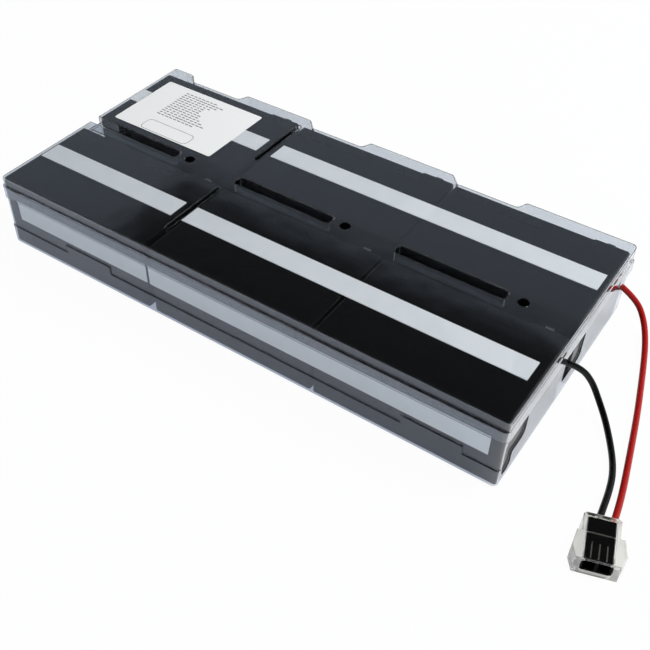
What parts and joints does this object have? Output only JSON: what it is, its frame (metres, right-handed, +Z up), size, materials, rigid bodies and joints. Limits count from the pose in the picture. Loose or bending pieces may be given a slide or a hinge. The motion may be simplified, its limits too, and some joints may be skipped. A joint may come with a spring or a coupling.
{
  "type": "ups battery",
  "caption": "Flat battery pack of sealed blocks in two rows inside a clear formed tray and cover, wired in series to a red and a black lead with a two-pole connector.",
  "frame": {"origin": "on the floor, under the middle of the clear shell, leads and connector left out", "axes": "+X along the pack towards the end where the leads leave, +Y towards the lids, +Z up"},
  "size_m": [0.5599, 0.251, 0.0674],
  "materials": {
    "clear_sheet": "clear thermoformed PET sheet, glossy",
    "black_case": "moulded black ABS",
    "black_lid": "moulded black ABS",
    "vent_cover": "moulded black ABS",
    "tinned_brass": "tin plated",
    "terminal_boot": "clear nylon",
    "link_wire": "black PVC insulation",
    "red_wire": "red PVC insulation",
    "black_wire": "black PVC insulation",
    "foam_tape": "white foam tape",
    "label": "plain coated label",
    "clear_connector": "clear moulded polycarbonate",
    "connector_core": "black moulded nylon"
  },
  "bodies": {
    "root": {"case_back_1": "black_case", "case_back_2": "black_case", "case_back_3": "black_case", "case_front_1": "black_case", "case_front_2": "black_case", "case_front_3": "black_case", "connector_core": "connector_core", "connector_housing": "clear_connector", "cover": "clear_sheet", "label": "label", "lid_back_1": "black_lid", "lid_back_2": "black_lid", "lid_back_3": "black_lid", "lid_front_1": "black_lid", "lid_front_2": "black_lid", "lid_front_3": "black_lid", "link_back_1_2": "link_wire", "link_back_2_3": "link_wire", "link_front_2_1": "link_wire", "link_front_3_2": "link_wire", "link_front_to_back": "link_wire", "negative_blade_back_1": "tinned_brass", "negative_blade_back_2": "tinned_brass", "negative_blade_back_3": "tinned_brass", "negative_blade_front_1": "tinned_brass", "negative_blade_front_2": "tinned_brass", "negative_blade_front_3": "tinned_brass", "negative_boots": "terminal_boot", "negative_contact": "tinned_brass", "negative_lead": "black_wire", "negative_lead_tail": "black_wire", "negative_receptacles": "tinned_brass", "positive_blade_back_1": "tinned_brass", "positive_blade_back_2": "tinned_brass", "positive_blade_back_3": "tinned_brass", "positive_blade_front_1": "tinned_brass", "positive_blade_front_2": "tinned_brass", "positive_blade_front_3": "tinned_brass", "positive_boots": "terminal_boot", "positive_contact": "tinned_brass", "positive_lead": "red_wire", "positive_lead_tail": "red_wire", "positive_receptacles": "tinned_brass", "tape_side_long": "foam_tape", "tape_side_short": "foam_tape", "tape_top_back_long": "foam_tape", "tape_top_back_short": "foam_tape", "tape_top_front_long": "foam_tape", "tape_top_front_short": "foam_tape", "tray": "clear_sheet", "vent_cover_back_1": "vent_cover", "vent_cover_back_2": "vent_cover", "vent_cover_back_3": "vent_cover", "vent_cover_front_1": "vent_cover", "vent_cover_front_2": "vent_cover", "vent_cover_front_3": "vent_cover"}
  },
  "joints": []
}
